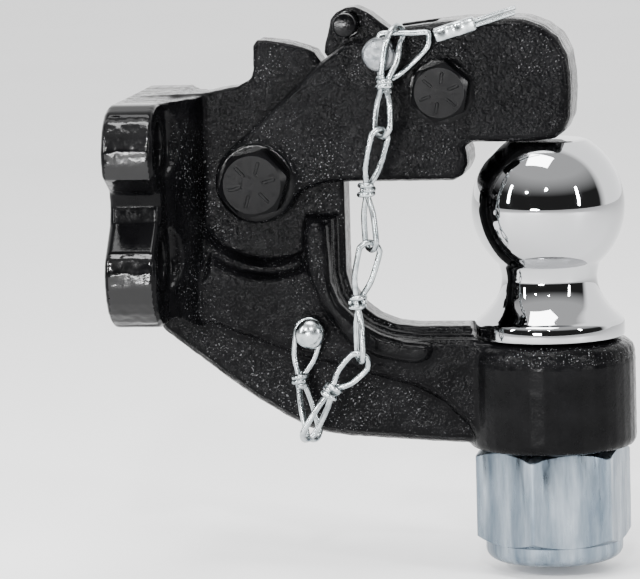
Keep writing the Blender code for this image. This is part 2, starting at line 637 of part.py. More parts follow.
def main():
    clear_scene()
    build_body()
    build_ball()
    build_nut()
    build_latch()
    build_lever()
    finish("handle_bar", turned([(0, -16.6), (3.9, -16.6), (4.5, -16.0), (4.5, 16.0), (3.9, 16.6), (0, 16.6)], 87.2, 64.2, 24, "Y"), BLACK)
    hex_bolt("latch_pivot_bolt", PIVOT[0], PIVOT[1], PIVOT_R - 0.1, 23.9, -19.1, 10.0, 36.0, 12.7)
    washer("latch_pivot_washer", PIVOT[0], PIVOT[1], PIVOT_R - 0.1, 15.6, 19.1, 2.0)
    hex_nut("latch_pivot_nut", PIVOT[0], PIVOT[1], PIVOT_R - 0.1, 23.9, 21.4, 12.6, 4.0)
    hex_bolt("lock_pivot_bolt", LOCK[0], LOCK[1], LOCK_R - 0.1, 20.5, -18.3, 7.4, 32.5, 20.0)
    washer("lock_pivot_washer", LOCK[0], LOCK[1], LOCK_R - 0.1, 12.4, 18.3, 1.8)
    hex_nut("lock_pivot_nut", LOCK[0], LOCK[1], LOCK_R - 0.1, 20.5, 20.4, 10.6, 11.0)
    build_spring()
    build_pin()
    build_bail()
    build_ferrule()
    for name, spec in LINKS.items():
        build_link(name, *spec)
    build_rivet()


main()
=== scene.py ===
import json
import math

import bmesh
import bpy
from mathutils import Matrix, Vector, noise


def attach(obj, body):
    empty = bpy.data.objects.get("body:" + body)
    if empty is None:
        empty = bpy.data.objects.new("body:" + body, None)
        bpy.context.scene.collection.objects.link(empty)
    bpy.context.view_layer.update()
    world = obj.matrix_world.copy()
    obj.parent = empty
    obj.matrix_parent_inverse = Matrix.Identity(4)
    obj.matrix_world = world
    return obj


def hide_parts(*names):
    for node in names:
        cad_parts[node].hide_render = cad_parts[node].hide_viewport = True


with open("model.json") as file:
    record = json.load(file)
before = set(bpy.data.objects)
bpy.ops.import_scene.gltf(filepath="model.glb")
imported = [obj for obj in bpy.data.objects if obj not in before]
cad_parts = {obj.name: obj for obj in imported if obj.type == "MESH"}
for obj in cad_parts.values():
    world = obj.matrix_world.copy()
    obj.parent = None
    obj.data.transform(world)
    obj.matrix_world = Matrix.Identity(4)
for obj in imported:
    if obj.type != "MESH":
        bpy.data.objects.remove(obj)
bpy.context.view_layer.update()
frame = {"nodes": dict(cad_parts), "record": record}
nodes = frame["nodes"]
MM = 0.001
WIRE_R = 1.15
PIVOT, LOCK, PIN, RIVET = (52.0, 5.0), (124.0, 38.8), (101.2, 53.5), (72.3, -52.8)
BAIL_Y = -22.4


# ---------------------------------------------------------------- materials


class Look:
    """A Principled material and short ways to put noise and bump on it."""

    def __init__(self, name, colour, metallic=0.0, roughness=0.3, coat=0.0, coat_rough=0.05, specular=0.5):
        self.mat = bpy.data.materials.new(name)
        self.mat.use_nodes = True
        self.tree = self.mat.node_tree
        self.bsdf = self.tree.nodes["Principled BSDF"]
        self.set("Base Color", (*colour, 1))
        self.set("Metallic", metallic)
        self.set("Roughness", roughness)
        self.set("Coat Weight", coat)
        self.set("Coat Roughness", coat_rough)
        self.set("Specular IOR Level", specular)
        self.mat.diffuse_color = (*colour, 1)
        self.coords = self.tree.nodes.new("ShaderNodeTexCoord").outputs["Object"]
        self.last_normal = None

    def set(self, socket, value):
        self.bsdf.inputs[socket].default_value = value

    def stretch(self, scale):
        m = self.tree.nodes.new("ShaderNodeMapping")
        m.inputs["Scale"].default_value = scale
        self.tree.links.new(self.coords, m.inputs["Vector"])
        return m.outputs["Vector"]

    def noise(self, scale, detail=2.0, rough=0.5, vector=None):
        n = self.tree.nodes.new("ShaderNodeTexNoise")
        n.inputs["Scale"].default_value = scale
        n.inputs["Detail"].default_value = detail
        n.inputs["Roughness"].default_value = rough
        self.tree.links.new(vector or self.coords, n.inputs["Vector"])
        return n.outputs["Fac"]

    def cells(self, scale, vector=None):
        n = self.tree.nodes.new("ShaderNodeTexVoronoi")
        n.feature = "SMOOTH_F1"
        n.inputs["Scale"].default_value = scale
        self.tree.links.new(vector or self.coords, n.inputs["Vector"])
        return n.outputs["Distance"]

    def ramp(self, value, stops):
        r = self.tree.nodes.new("ShaderNodeValToRGB")
        el = r.color_ramp.elements
        while len(el) < len(stops):
            el.new(0.5)
        for e, (pos, col) in zip(el, stops):
            e.position = pos
            e.color = (*col, 1) if isinstance(col, tuple) else (col, col, col, 1)
        self.tree.links.new(value, r.inputs["Fac"])
        return r.outputs["Color"]

    def to(self, value, socket):
        self.tree.links.new(value, self.bsdf.inputs[socket])

    def bump(self, height, strength, distance, coat=True):
        b = self.tree.nodes.new("ShaderNodeBump")
        b.inputs["Strength"].default_value = strength
        b.inputs["Distance"].default_value = distance
        self.tree.links.new(height, b.inputs["Height"])
        if self.last_normal:
            self.tree.links.new(self.last_normal, b.inputs["Normal"])
        self.last_normal = b.outputs["Normal"]
        self.to(self.last_normal, "Normal")
        if coat:
            self.to(self.last_normal, "Coat Normal")


def black(name, pebble, fine, rough=0.16, specular=0.5):
    """Thick gloss enamel; pebble is the forging skin under it, fine the dust and orange peel in it. Where pebble is
    above 0.3, sparse pale specks are painted into the base colour as painted highlights that stand for the enamel's
    glints.
    """
    k = Look(name, (0.006, 0.006, 0.007), 0.0, rough, 0.0, 0.04, specular)
    skin = k.ramp(k.noise(70, 4), [(0.35, (0.0012, 0.0012, 0.0014)), (0.7, (0.0038, 0.0038, 0.0042))])
    if pebble > 0.3:
        # painted highlights: sparse pale specks added to the base colour stand for glints of light on the enamel,
        # denser in some patches than in others
        painted_glints = k.ramp(k.noise(1500, 1.5), [(0.655, (0.0, 0.0, 0.0)), (0.72, (0.15, 0.15, 0.155))])
        glint_patches = k.ramp(k.noise(38, 3), [(0.40, 0.05), (0.66, 1.0)])
        patchy_painted_glints = k.tree.nodes.new("ShaderNodeMix")
        patchy_painted_glints.data_type, patchy_painted_glints.blend_type = "RGBA", "MULTIPLY"
        patchy_painted_glints.inputs["Factor"].default_value = 1.0
        k.tree.links.new(painted_glints, patchy_painted_glints.inputs[6])
        k.tree.links.new(glint_patches, patchy_painted_glints.inputs[7])
        tone_plus_painted_glints = k.tree.nodes.new("ShaderNodeMix")
        tone_plus_painted_glints.data_type, tone_plus_painted_glints.blend_type = "RGBA", "ADD"
        tone_plus_painted_glints.inputs["Factor"].default_value = 1.0
        k.tree.links.new(skin, tone_plus_painted_glints.inputs[6])
        k.tree.links.new(patchy_painted_glints.outputs[2], tone_plus_painted_glints.inputs[7])
        # base colour is now the dark enamel tone plus the painted glint specks
        skin = tone_plus_painted_glints.outputs[2]
    k.to(skin, "Base Color")
    k.to(k.ramp(k.noise(420, 3), [(0.3, rough * 0.55), (0.75, rough * 1.7)]), "Roughness")
    if pebble:
        k.bump(k.noise(260, 1.0), 1.0, pebble * 0.12 * MM)
        k.bump(k.cells(950), 1.0, -pebble * 0.28 * MM)
        k.bump(k.noise(1700, 2), 1.0, pebble * 0.16 * MM)
    k.bump(k.noise(2300, 2), 1.0, fine * MM)
    return k.mat


# paint_forged is the only finish strong enough in pebble to get the painted glint specks
forged = black("paint_forged", 0.60, 0.04, 0.15, 0.045)
forged_soft = black("paint_forged_soft", 0.14, 0.02, 0.20, 0.06)
smooth_black = black("paint_smooth", 0.05, 0.010, 0.10, 0.07)
gloss_black = black("paint_gloss", 0.10, 0.012, 0.12, 0.30)
bolt_black = black("bolt_black_oxide", 0.0, 0.02, 0.17, 0.05)

chrome_look = Look("chrome_ball", (0.42, 0.425, 0.435), 1.0, 0.035)
chrome_look.to(chrome_look.ramp(chrome_look.noise(240, 3), [(0.4, 0.02), (0.8, 0.06)]), "Roughness")
chrome_look.bump(chrome_look.noise(60, 2), 1.0, 0.02 * MM, False)
chrome = chrome_look.mat
steel_look = Look("shank_zinc", (0.60, 0.64, 0.70), 1.0, 0.36)
steel_look.to(steel_look.ramp(steel_look.noise(300, 4), [(0.3, (0.42, 0.47, 0.54)), (0.75, (0.70, 0.73, 0.77))]), "Base Color")
steel_look.bump(steel_look.noise(900, 3), 1.0, 0.02 * MM, False)
shank = steel_look.mat

zn = Look("nut_zinc_plate", (0.62, 0.68, 0.76), 1.0, 0.30)
up = zn.stretch((1.0, 1.0, 0.16))
zn.to(zn.ramp(zn.noise(170, 4, 0.6, up), [(0.28, (0.09, 0.12, 0.155)), (0.5, (0.18, 0.22, 0.26)), (0.78, (0.36, 0.41, 0.46))]), "Base Color")
zn.to(zn.ramp(zn.noise(420, 4, 0.6, up), [(0.3, 0.22), (0.75, 0.46)]), "Roughness")
zn.bump(zn.noise(600, 3, 0.5, up), 1.0, 0.03 * MM, False)
zn.bump(zn.noise(1700, 3), 1.0, 0.012 * MM, False)
nut_zinc = zn.mat

wr = Look("wire_zinc_plate", (0.70, 0.73, 0.75), 1.0, 0.22)
wr.to(wr.ramp(wr.noise(260, 3), [(0.3, (0.24, 0.27, 0.28)), (0.7, (0.50, 0.53, 0.54))]), "Base Color")
wr.to(wr.ramp(wr.noise(700, 3), [(0.3, 0.14), (0.75, 0.34)]), "Roughness")
wr.bump(wr.noise(1300, 3), 1.0, 0.02 * MM, False)
wire_zinc = wr.mat

pn = Look("pin_zinc_plate", (0.52, 0.54, 0.56), 1.0, 0.30)
pn.to(pn.ramp(pn.noise(380, 4), [(0.3, (0.05, 0.055, 0.06)), (0.7, (0.14, 0.145, 0.15))]), "Base Color")
pn.to(pn.ramp(pn.noise(500, 3), [(0.3, 0.22), (0.75, 0.42)]), "Roughness")
pn.bump(pn.noise(1100, 3), 1.0, 0.03 * MM, False)
pin_zinc = pn.mat

sp = Look("spring_steel", (0.30, 0.30, 0.32), 1.0, 0.32)
sp.to(sp.ramp(sp.noise(500, 3), [(0.3, (0.18, 0.18, 0.19)), (0.7, (0.36, 0.36, 0.38))]), "Base Color")
sp.bump(sp.noise(1200, 2), 1.0, 0.015 * MM, False)
spring_steel = sp.mat
ny = Look("nylon_insert", (0.55, 0.60, 0.66), 0.0, 0.42, specular=0.5)
ny.to(ny.ramp(ny.noise(200, 3), [(0.3, (0.50, 0.55, 0.61)), (0.7, (0.62, 0.66, 0.71))]), "Base Color")
ny.set("Subsurface Weight", 0.05)
ny.bump(ny.noise(700, 2), 1.0, 0.015 * MM, False)
nylon = ny.mat


# ---------------------------------------------------------------- mesh helpers


def place(name, bm, mats, node, body, sharp=32.0, extra=()):
    """Mesh object standing for CAD node(s), riding its body; edges sharper than the limit stay crisp."""
    bmesh.ops.recalc_face_normals(bm, faces=bm.faces)
    limit = math.radians(sharp)
    for f in bm.faces:
        f.smooth = True
    for e in bm.edges:
        if len(e.link_faces) == 2 and e.calc_face_angle(0.0) > limit:
            e.smooth = False
    me = bpy.data.meshes.new(name)
    bm.to_mesh(me)
    bm.free()
    for m in mats:
        me.materials.append(m)
    ob = bpy.data.objects.new(name, me)
    bpy.context.scene.collection.objects.link(ob)
    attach(ob, body)
    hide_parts(node, *extra)
    return ob


def revolve(profile, cx, cy, axis="Z", n=96, loop=False, bm=None, mat=0):
    """Turned solid from (radius, height) points; loop closes the profile into a ring."""
    bm = bm or bmesh.new()

    def put(r, h, a):
        u, v = (cx + r * math.cos(a)) * MM, (cy + r * math.sin(a)) * MM
        return (u, v, h * MM) if axis == "Z" else (u, h * MM, v)

    rings = []
    for r, h in profile:
        rings.append([bm.verts.new(put(0, h, 0))] if r < 1e-6 else
                     [bm.verts.new(put(r, h, 2 * math.pi * i / n)) for i in range(n)])
    pairs = list(zip(rings, rings[1:])) + ([(rings[-1], rings[0])] if loop else [])
    for a, b in pairs:
        for i in range(n):
            j = (i + 1) % n
            if len(a) == 1 and len(b) > 1:
                f = bm.faces.new((a[0], b[i], b[j]))
            elif len(b) == 1 and len(a) > 1:
                f = bm.faces.new((a[i], b[0], a[j]))
            else:
                f = bm.faces.new((a[i], b[i], b[j], a[j]))
            f.material_index = mat
    return bm


def bend(p0, p1, p2, n=4):
    """Quadratic curve p0..p2 pulled to p1: a rounded corner in a profile."""
    out = []
    for i in range(n + 1):
        t = i / n
        out.append(((1 - t) ** 2 * p0[0] + 2 * t * (1 - t) * p1[0] + t * t * p2[0],
                    (1 - t) ** 2 * p0[1] + 2 * t * (1 - t) * p1[1] + t * t * p2[1]))
    return out


def hexagonal(af, h0, h1, turn, cx, cy, axis, bore=0.0, n=144, cone=0.965, low_cone=True, dashes=0.0):
    """Hexagon whose corners are turned back by a cone, as every real nut and bolt head has. h1 is the outer face."""
    bm = bmesh.new()
    sign = 1 if h1 > h0 else -1
    height = abs(h1 - h0)
    half = af / 2

    def outline(a):
        s = 0.0
        for k in range(6):
            c = math.cos(a - math.radians(turn + 30 + 60 * k))
            if c > 0:
                s += c ** 70
        return half / s ** (1 / 70)

    def put(r, h, a):
        u, v, w = (cx + r * math.cos(a)) * MM, (cy + r * math.sin(a)) * MM, (h0 + sign * h) * MM
        return (u, v, w) if axis == "Z" else (u, w, v)

    def drop(r):
        return max(0.0, r - half * cone) * 0.62

    rows = []
    for end in ("low", "top"):
        part = []
        steps = (0.0, 0.35, 0.7, 1.0)
        for s in steps:
            part.append(("face", s, end))
        for s in (0.4, 0.75, 0.94, 1.0):
            part.append(("cone", s, end))
        rows.append(part)
    order = rows[0] + list(reversed(rows[1]))
    rings = []
    for kind, s, end in order:
        ring = []
        for i in range(n):
            a = 2 * math.pi * i / n
            ro = outline(a)
            rc = min(half * cone, ro - 0.3)
            if kind == "face":
                r = max(bore, 0.4) + (rc - max(bore, 0.4)) * s
            else:
                r = rc + (ro - rc) * s
            d = drop(r) if (end == "top" or low_cone) else 0.0
            if kind == "cone" and s == 1.0:
                d += 0.18
            h = height - d if end == "top" else d
            ring.append(bm.verts.new(put(r, h, a)))
        rings.append(ring)
    for lo, hi in zip(rings, rings[1:]):
        for i in range(n):
            bm.faces.new((lo[i], lo[(i + 1) % n], hi[(i + 1) % n], hi[i]))
    if bore:
        lo, hi = rings[-1], rings[0]
        for i in range(n):
            bm.faces.new((lo[i], lo[(i + 1) % n], hi[(i + 1) % n], hi[i]))
    else:
        bm.faces.new(rings[0])
        bm.faces.new(list(reversed(rings[-1])))
    if dashes:
        for k in range(6):
            a = math.radians(turn + 60 * k)
            put_bar(bm, cx, cy, a, half * 0.34, half * 0.78, dashes, h1, sign, axis)
    return bm


def put_bar(bm, cx, cy, a, r0, r1, w, h, sign, axis):
    """One raised strength dash on a bolt head."""
    c, s = math.cos(a), math.sin(a)
    rings = []
    for hh, shrink in ((-0.4, 0.0), (0.16, 0.0), (0.34, 0.22)):
        ring = []
        for k in range(12):
            t = 2 * math.pi * k / 12
            u = (r0 + r1) / 2 + ((r1 - r0) / 2 - w / 2) * math.copysign(1, math.cos(t)) + (w / 2 - shrink) * math.cos(t)
            v = (w / 2 - shrink) * math.sin(t)
            x, y = cx + u * c - v * s, cy + u * s + v * c
            z = h + sign * hh
            ring.append(bm.verts.new((x * MM, y * MM, z * MM) if axis == "Z" else (x * MM, z * MM, y * MM)))
        rings.append(ring)
    for lo, hi in zip(rings, rings[1:]):
        for i in range(12):
            bm.faces.new((lo[i], lo[(i + 1) % 12], hi[(i + 1) % 12], hi[i]))
    bm.faces.new(rings[0])
    bm.faces.new(list(reversed(rings[-1])))


def tube(points, radius, sides=12, closed=True, bm=None, mat=0, caps=0.5):
    pts = [Vector(p) * MM for p in points]
    n = len(pts)
    bm = bm or bmesh.new()
    tangents = []
    for i in range(n):
        a = pts[i - 1] if (closed or i > 0) else pts[i]
        b = pts[(i + 1) % n] if (closed or i < n - 1) else pts[i]
        tangents.append((b - a).normalized())
    ref = Vector((0, 1, 0)) if abs(tangents[0].y) < 0.9 else Vector((1, 0, 0))
    normal = (ref - tangents[0] * ref.dot(tangents[0])).normalized()
    frames = []
    for t in tangents:
        normal = (normal - t * normal.dot(t)).normalized()
        frames.append((normal.copy(), t.cross(normal).normalized()))
    twist = 0.0
    if closed:
        last = (frames[-1][0] - tangents[0] * frames[-1][0].dot(tangents[0])).normalized()
        twist = math.atan2(last.dot(frames[0][1]), last.dot(frames[0][0]))
    rings = []

    def ring(centre, u, v, turn, r):
        return [bm.verts.new(centre + (u * math.cos(turn + 2 * math.pi * k / sides)
                                       + v * math.sin(turn + 2 * math.pi * k / sides)) * r * MM) for k in range(sides)]

    for i in range(n):
        u, v = frames[i]
        r = radius(i / (n - 1)) if callable(radius) else radius
        rings.append(ring(pts[i], u, v, -twist * i / n, r))
    if not closed:
        r = radius(0.0) if callable(radius) else radius
        rings.insert(0, ring(pts[0] - tangents[0] * caps * r * 0.5 * MM, *frames[0], 0, r * 0.7))
        r = radius(1.0) if callable(radius) else radius
        rings.append(ring(pts[-1] + tangents[-1] * caps * r * 0.5 * MM, *frames[-1], 0, r * 0.7))
    m = len(rings)
    for i in range(m if closed else m - 1):
        a, b = rings[i], rings[(i + 1) % m]
        for k in range(sides):
            bm.faces.new((a[k], a[(k + 1) % sides], b[(k + 1) % sides], b[k])).material_index = mat
    if not closed:
        bm.faces.new(rings[0]).material_index = mat
        bm.faces.new(list(reversed(rings[-1]))).material_index = mat
    return bm


def smooth_path(ctrl, per=4, closed=True):
    """Catmull-Rom curve through the control points."""
    out = []
    n = len(ctrl)
    for i in (range(n) if closed else range(n - 1)):
        p = [Vector(ctrl[(i + k - 1) % n] if closed else ctrl[min(max(i + k - 1, 0), n - 1)]) for k in range(4)]
        for s in range(per):
            t = s / per
            out.append(0.5 * ((2 * p[1]) + (p[2] - p[0]) * t + (2 * p[0] - 5 * p[1] + 4 * p[2] - p[3]) * t * t
                              + (3 * p[1] - p[0] - 3 * p[2] + p[3]) * t ** 3))
    if not closed:
        out.append(Vector(ctrl[-1]))
    return out


# ---------------------------------------------------------------- forgings


def forging(node, body, voxel, wave, choose, mats, rounds=3):
    """The CAD solid remeshed finely, its edges softened like paint over a forging, its skin slightly uneven.
    Faces are given a finish by choose(centre_mm, normal)."""
    src = nodes[node]
    me = src.data.copy()
    tmp = bpy.data.objects.new("tmp_" + node, me)
    bpy.context.scene.collection.objects.link(tmp)
    bm = bmesh.new()
    bm.from_mesh(me)
    bmesh.ops.remove_doubles(bm, verts=bm.verts, dist=1e-6)
    bm.to_mesh(me)
    bm.free()
    mod = tmp.modifiers.new("r", "REMESH")
    mod.mode = "VOXEL"
    mod.voxel_size = voxel * MM
    mod.adaptivity = 0.0
    sm = tmp.modifiers.new("s", "SMOOTH")
    sm.factor = 0.5
    sm.iterations = rounds
    dg = bpy.context.evaluated_depsgraph_get()
    fine = bpy.data.meshes.new_from_object(tmp.evaluated_get(dg))
    bpy.data.objects.remove(tmp)
    bm = bmesh.new()
    bm.from_mesh(fine)
    bm.normal_update()
    for v in bm.verts:
        p = v.co * 1000
        flat = choose(p, v.normal)
        if flat != 2:
            a = wave if flat in (0, 3) else wave * 0.35
            h = noise.noise(p * 0.16) * 0.6 + noise.noise(p * 0.45) * 0.4
            v.co = v.co + v.normal * (a * (h - 0.75) * MM)
    for f in bm.faces:
        f.smooth = True
        f.material_index = choose(f.calc_center_median() * 1000, f.normal)
    name = node + "_forging"
    out = bpy.data.meshes.new(name)
    bm.to_mesh(out)
    bm.free()
    for m in mats:
        out.materials.append(m)
    ob = bpy.data.objects.new(name, out)
    bpy.context.scene.collection.objects.link(ob)
    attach(ob, body)
    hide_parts(node)
    return ob


def body_zone(p, n):
    """0 forged skin, 1 gently rough, 2 machined or smooth."""
    x, y, z = p
    if x < 1.2:
        return 2                                                     # mounting face
    if x < 21 and min(math.hypot(abs(y) - 42.9, z - 22.2), math.hypot(abs(y) - 42.9, z + 22.2)) < 16.0:
        return 2                                                     # bolt holes and their seats
    if x < 22 and abs(y) > 50 and abs(n.x) < 0.5:
        return 3                                                     # flange ends, thick glossy paint
    if x < 24 and abs(y) > 30:
        return 1
    if 95 < x < 128 and abs(y) > 19.6 and z > -66:
        return 1                                                     # bead round the throat
    if abs(y) > 19.6 and 78 < x < 96 and z > -54:
        return 1
    r = math.hypot(x - PIVOT[0], z - PIVOT[1])
    if math.hypot(x - 162, y) < 33.4 and (z > -58.6 or z < -99.0):
        return 2                                                     # ball seat and nut face
    if 31.5 < math.hypot(x - 162, y) < 33.6 and x > 134 and -99 < z < -66:
        return 1                                                     # boss wall
    if z > -57 and 74 < x < 135 and abs(y) < 19 and abs(n.y) < 0.5:
        return 1                                                     # throat wall
    return 0


def latch_zone(p, n):
    x, y, z = p
    if abs(y) < 9.8:
        return 1                                                     # slot faces
    for (cx, cz), r in ((PIVOT, 15.0), (LOCK, 12.5)):
        if math.hypot(x - cx, z - cz) < r:
            return 2
    return 0


forging("body", "hook", 0.75, 0.35, body_zone, [forged, forged_soft, smooth_black, gloss_black])
forging("latch", "latch", 0.6, 0.25, latch_zone, [forged, forged_soft, smooth_black])
forging("lock_lever", "lever", 0.5, 0.15, lambda p, n: 1 if abs(n.y) < 0.5 else 0,
        [forged, forged_soft])


# ---------------------------------------------------------------- ball and its nut

BX, BZ, BR = 162.0, -7.15, 29.37
profile = [(0, BZ + 25.5)] + bend((12.9, BZ + 25.5), (14.3, BZ + 25.5), (15.2, BZ + 25.12), 4)
for i in range(49):
    a = math.radians(58.8 - (58.8 + 48.4) * i / 48)
    profile.append((BR * math.cos(a), BZ + BR * math.sin(a)))
profile += smooth_path([(19.3, -29.4, 0), (18.3, -34.6, 0), (19.4, -40.2, 0), (22.4, -45.3, 0), (27.2, -50.2, 0)], 6, False)[1:]
profile = [(p[0], p[1]) for p in profile]
profile += bend((27.6, -50.5), (28.6, -51.2), (28.65, -52.2), 3) + [(28.65, -56.0)] + bend((28.65, -56.3), (28.6, -57.2), (28.0, -57.25), 3)
split = -57.25
thread = [(15.7, split)]
z = -92.0
thread.append((15.7, z))
while z > -142.6:
    thread += [(15.0, z - 0.55), (15.0, z - 0.85), (15.65, z - 1.4), (15.65, z - 1.58)]
    z -= 1.6
thread += bend((15.5, -143.9), (15.2, -145.3), (13.6, -145.3), 3) + [(0, -145.3)]
bm = revolve(profile + [(15.7, split)], BX, 0, "Z", 160)
low = revolve(thread, BX, 0, "Z", 96, mat=1)
me_low = bpy.data.meshes.new("join")
low.to_mesh(me_low)
low.free()
bm.from_mesh(me_low)
place("hitch_ball_fine", bm, [chrome, shank], "hitch_ball", "hook", 30)

top, low_z = -100.1, -136.5
bm = hexagonal(53.7, top, low_z, 19.75 + 180, BX, 0, "Z", bore=16.2, n=192, cone=0.985)
collar = [(25.6, low_z + 0.8)] + bend((26.5, low_z + 0.3), (26.5, low_z - 1.6), (26.5, low_z - 3.0), 2)
collar += bend((26.4, low_z - 3.4), (25.9, low_z - 6.6), (21.6, low_z - 7.5), 8) + [(20.2, low_z - 7.6), (17.4, low_z - 7.4), (16.9, low_z - 6.9),
           (16.9, low_z - 6.0), (21.6, low_z - 6.0), (21.6, low_z + 0.8)]
revolve(collar, BX, 0, "Z", 128, True, bm)
place("ball_lock_nut_fine", bm, [nut_zinc], "ball_lock_nut", "hook", 28)
bm = revolve(bend((21.2, low_z - 5.0), (21.2, low_z - 5.6), (20.6, low_z - 5.6), 2)
             + bend((16.9, low_z - 5.6), (16.2, low_z - 5.6), (16.2, low_z - 4.9), 2)
             + [(16.2, low_z - 1.2), (21.2, low_z - 1.0)], BX, 0, "Z", 96, True)
place("nut_nylon_insert_fine", bm, [nylon], "nut_nylon_insert", "hook", 30)


# ---------------------------------------------------------------- pivot bolts


def bolt(node, body, centre, r, af, face, head, end, turn, thread_from, dash):
    bm = hexagonal(af, face, face - head, turn, centre[0], centre[1], "Y", n=144, dashes=dash, cone=0.93, low_cone=False)
    prof = [(0, face - 0.5), (r, face - 0.5), (r, thread_from)]
    y = thread_from
    while y < end - 2.6:
        prof += [(r - 0.62, y + 0.6), (r - 0.62, y + 0.8), (r - 0.03, y + 1.35), (r - 0.03, y + 1.5)]
        y += 1.55
    prof += bend((r - 0.7, end - 1.0), (r - 1.0, end), (r - 2.0, end), 3) + [(0, end)]
    revolve(prof, centre[0], centre[1], "Y", 64, bm=bm)
    place(node + "_fine", bm, [bolt_black], node, body, 30)


def nut(node, body, centre, r, af, y0, h, turn):
    bm = hexagonal(af, y0, y0 + h, turn, centre[0], centre[1], "Y", bore=r + 0.35, n=144, cone=0.95)
    place(node + "_fine", bm, [bolt_black], node, body, 30)


def washer(node, body, centre, r, ro, y0, h):
    prof = ([(r + 0.4, y0)] + bend((ro - 0.3, y0), (ro, y0), (ro, y0 + 0.3), 3)
            + bend((ro, y0 + h - 0.4), (ro, y0 + h), (ro - 0.4, y0 + h), 3) + bend((r + 0.7, y0 + h), (r + 0.4, y0 + h), (r + 0.4, y0 + h - 0.3), 2))
    place(node + "_fine", revolve(prof, centre[0], centre[1], "Y", 96, True), [bolt_black], node, body, 30)


body_of = {}
for b, members in frame["record"]["behaviour"]["bodies"].items() if isinstance(frame["record"].get("behaviour", {}).get("bodies"), dict) else []:
    for m in members:
        body_of[m] = b
bolt("latch_pivot_bolt", body_of.get("latch_pivot_bolt", "hook"), PIVOT, 7.7, 23.9, -19.1, 10.0, 36.0, 12.7, 20.0, 1.3)
nut("latch_pivot_nut", body_of.get("latch_pivot_nut", "hook"), PIVOT, 7.7, 23.9, 21.4, 12.6, 4.0)
washer("latch_pivot_washer", body_of.get("latch_pivot_washer", "hook"), PIVOT, 7.7, 15.6, 19.1, 2.0)
bolt("lock_pivot_bolt", body_of.get("lock_pivot_bolt", "latch"), LOCK, 7.0, 20.5, -18.3, 7.4, 32.5, 20.0, 19.0, 1.2)
nut("lock_pivot_nut", body_of.get("lock_pivot_nut", "latch"), LOCK, 7.0, 20.5, 20.4, 10.6, 11.0)
washer("lock_pivot_washer", body_of.get("lock_pivot_washer", "latch"), LOCK, 7.0, 12.4, 18.3, 1.8)

prof = [(0, -16.6)] + bend((3.7, -16.6), (4.5, -16.6), (4.5, -15.8), 4) + bend((4.5, 15.8), (4.5, 16.6), (3.7, 16.6), 4) + [(0, 16.6)]
place("handle_bar_fine", revolve(prof, 87.2, 64.2, "Y", 64), [smooth_black], "handle_bar", body_of.get("handle_bar", "lever"), 30)

pts = []
for i in range(int(2.75 * 40) + 1):
    a = math.radians(200) - 2 * math.pi * i / 40
    pts.append((LOCK[0] + 10.2 * math.cos(a), 2.9 + 5.0 * i / (2.75 * 40), LOCK[1] + 10.2 * math.sin(a)))
place("lock_torsion_spring_fine", tube(pts, 0.9, 12, False), [spring_steel], "lock_torsion_spring",
      body_of.get("lock_torsion_spring", "latch"), 40)


# ---------------------------------------------------------------- safety pin, bail and ferrule

prof = [(0, -25.0)] + bend((5.2, -25.0), (6.5, -25.0), (6.55, -24.0), 5) + [(6.55, -19.3)] + bend((6.55, -19.0), (6.5, -18.4), (6.0, -18.4), 3)
prof += [(4.2, -18.4), (4.2, 21.6)] + bend((4.2, 22.0), (4.1, 23.9), (2.4, 24.0), 5) + [(0, 24.0)]
place("safety_pin_fine", revolve(prof, PIN[0], PIN[1], "Y", 72), [pin_zinc], "safety_pin", body_of.get("safety_pin", "pin"), 30)

BAIL = [(101.2, 53.5), (101.2, 59.6), (102.4, 61.2), (106.0, 61.4), (114.0, 61.3), (119.6, 61.4), (120.4, 59.4),
        (119.4, 55.6), (115.6, 51.4), (110.0, 46.6), (104.6, 43.8), (101.6, 45.0), (101.2, 48.4)]
place("pin_bail_fine", tube(smooth_path([(x, BAIL_Y, z) for x, z in BAIL], 8, True), 1.12, 14), [wire_zinc], "pin_bail_wire",
      body_of.get("pin_bail_wire", "pin"), 40)

a, b = Vector((121.9, 59.9)), Vector((138.0, 64.8))
d = (b - a).normalized()
nn = Vector((-d.y, d.x))
length = (b - a).length


def oval(s, w, t, shift=0.0, k=28, power=0.62):
    c = a + d * s + nn * shift
    ring = []
    for i in range(k):
        ang = 2 * math.pi * i / k
        u = w * math.copysign(abs(math.cos(ang)) ** power, math.cos(ang))
        v = t * math.copysign(abs(math.sin(ang)) ** power, math.sin(ang))
        ring.append((c.x + nn.x * u, BAIL_Y + v, c.y + nn.y * u))
    return ring


bm = bmesh.new()
rings = []
for s, w, t in ((0.75, 1.8, 1.4), (0.8, 2.45, 2.0), (1.2, 2.85, 2.35), (3.2, 2.9, 2.4), (4.2, 2.9, 1.95), (6.6, 2.9, 1.85), (7.8, 2.9, 2.35),
                (9.6, 2.9, 2.4), (10.6, 2.9, 1.95), (13.0, 2.9, 1.85), (14.0, 2.9, 2.35), (length - 0.6, 2.9, 2.4),
                (length - 0.1, 2.55, 2.0), (length, 1.8, 1.4)):
    rings.append([bm.verts.new(Vector(p) * MM) for p in oval(s, w, t)])
for lo, hi in zip(rings, rings[1:]):
    for i in range(28):
        bm.faces.new((lo[i], lo[(i + 1) % 28], hi[(i + 1) % 28], hi[i]))
bm.faces.new(rings[0])
bm.faces.new(list(reversed(rings[-1])))
for side, reach in ((0.98, 16.2), (-0.98, 15.4)):
    ends = []
    for s in (length - 1.0, length + 4, length + 9, length + reach):
        c = a + d * s + nn * side
        ends.append((c.x, BAIL_Y, c.y))
    tube(smooth_path(ends, 3, False), 0.88, 12, False, bm)
place("bail_ferrule_fine", bm, [wire_zinc], "bail_ferrule", body_of.get("bail_ferrule", "pin"), 34)


# ---------------------------------------------------------------- chain of knotted wire links

